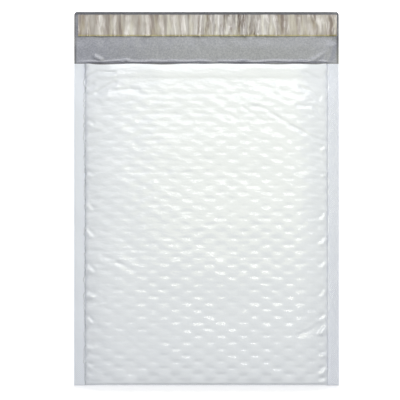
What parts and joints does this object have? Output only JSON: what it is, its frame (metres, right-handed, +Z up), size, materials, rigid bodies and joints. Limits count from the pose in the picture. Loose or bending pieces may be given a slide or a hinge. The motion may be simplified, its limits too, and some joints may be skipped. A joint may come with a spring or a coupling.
{
  "type": "padded envelope",
  "caption": "White plastic padded envelope with a grey-lined flap, a self-seal strip under its release film, and a bubble-lined pocket, lying open on its back.",
  "frame": {"origin": "on the surface that it lies on, under the middle of its outline", "axes": "+X across the width, +Y along the length from the bottom fold to the flap, +Z up through the front face"},
  "size_m": [0.216, 0.3048, 0.0142],
  "materials": {
    "jacket_film": "satin white outside, matt grey inside",
    "bubble_film": "clear, glossy",
    "hot_melt": "tacky, pale amber",
    "release_film": "crinkled, glossy, half clear"
  },
  "bodies": {
    "root": {"film_jacket": "jacket_film", "bubble_liner": "bubble_film", "adhesive_strip": "hot_melt", "release_strip": "release_film"}
  },
  "joints": []
}
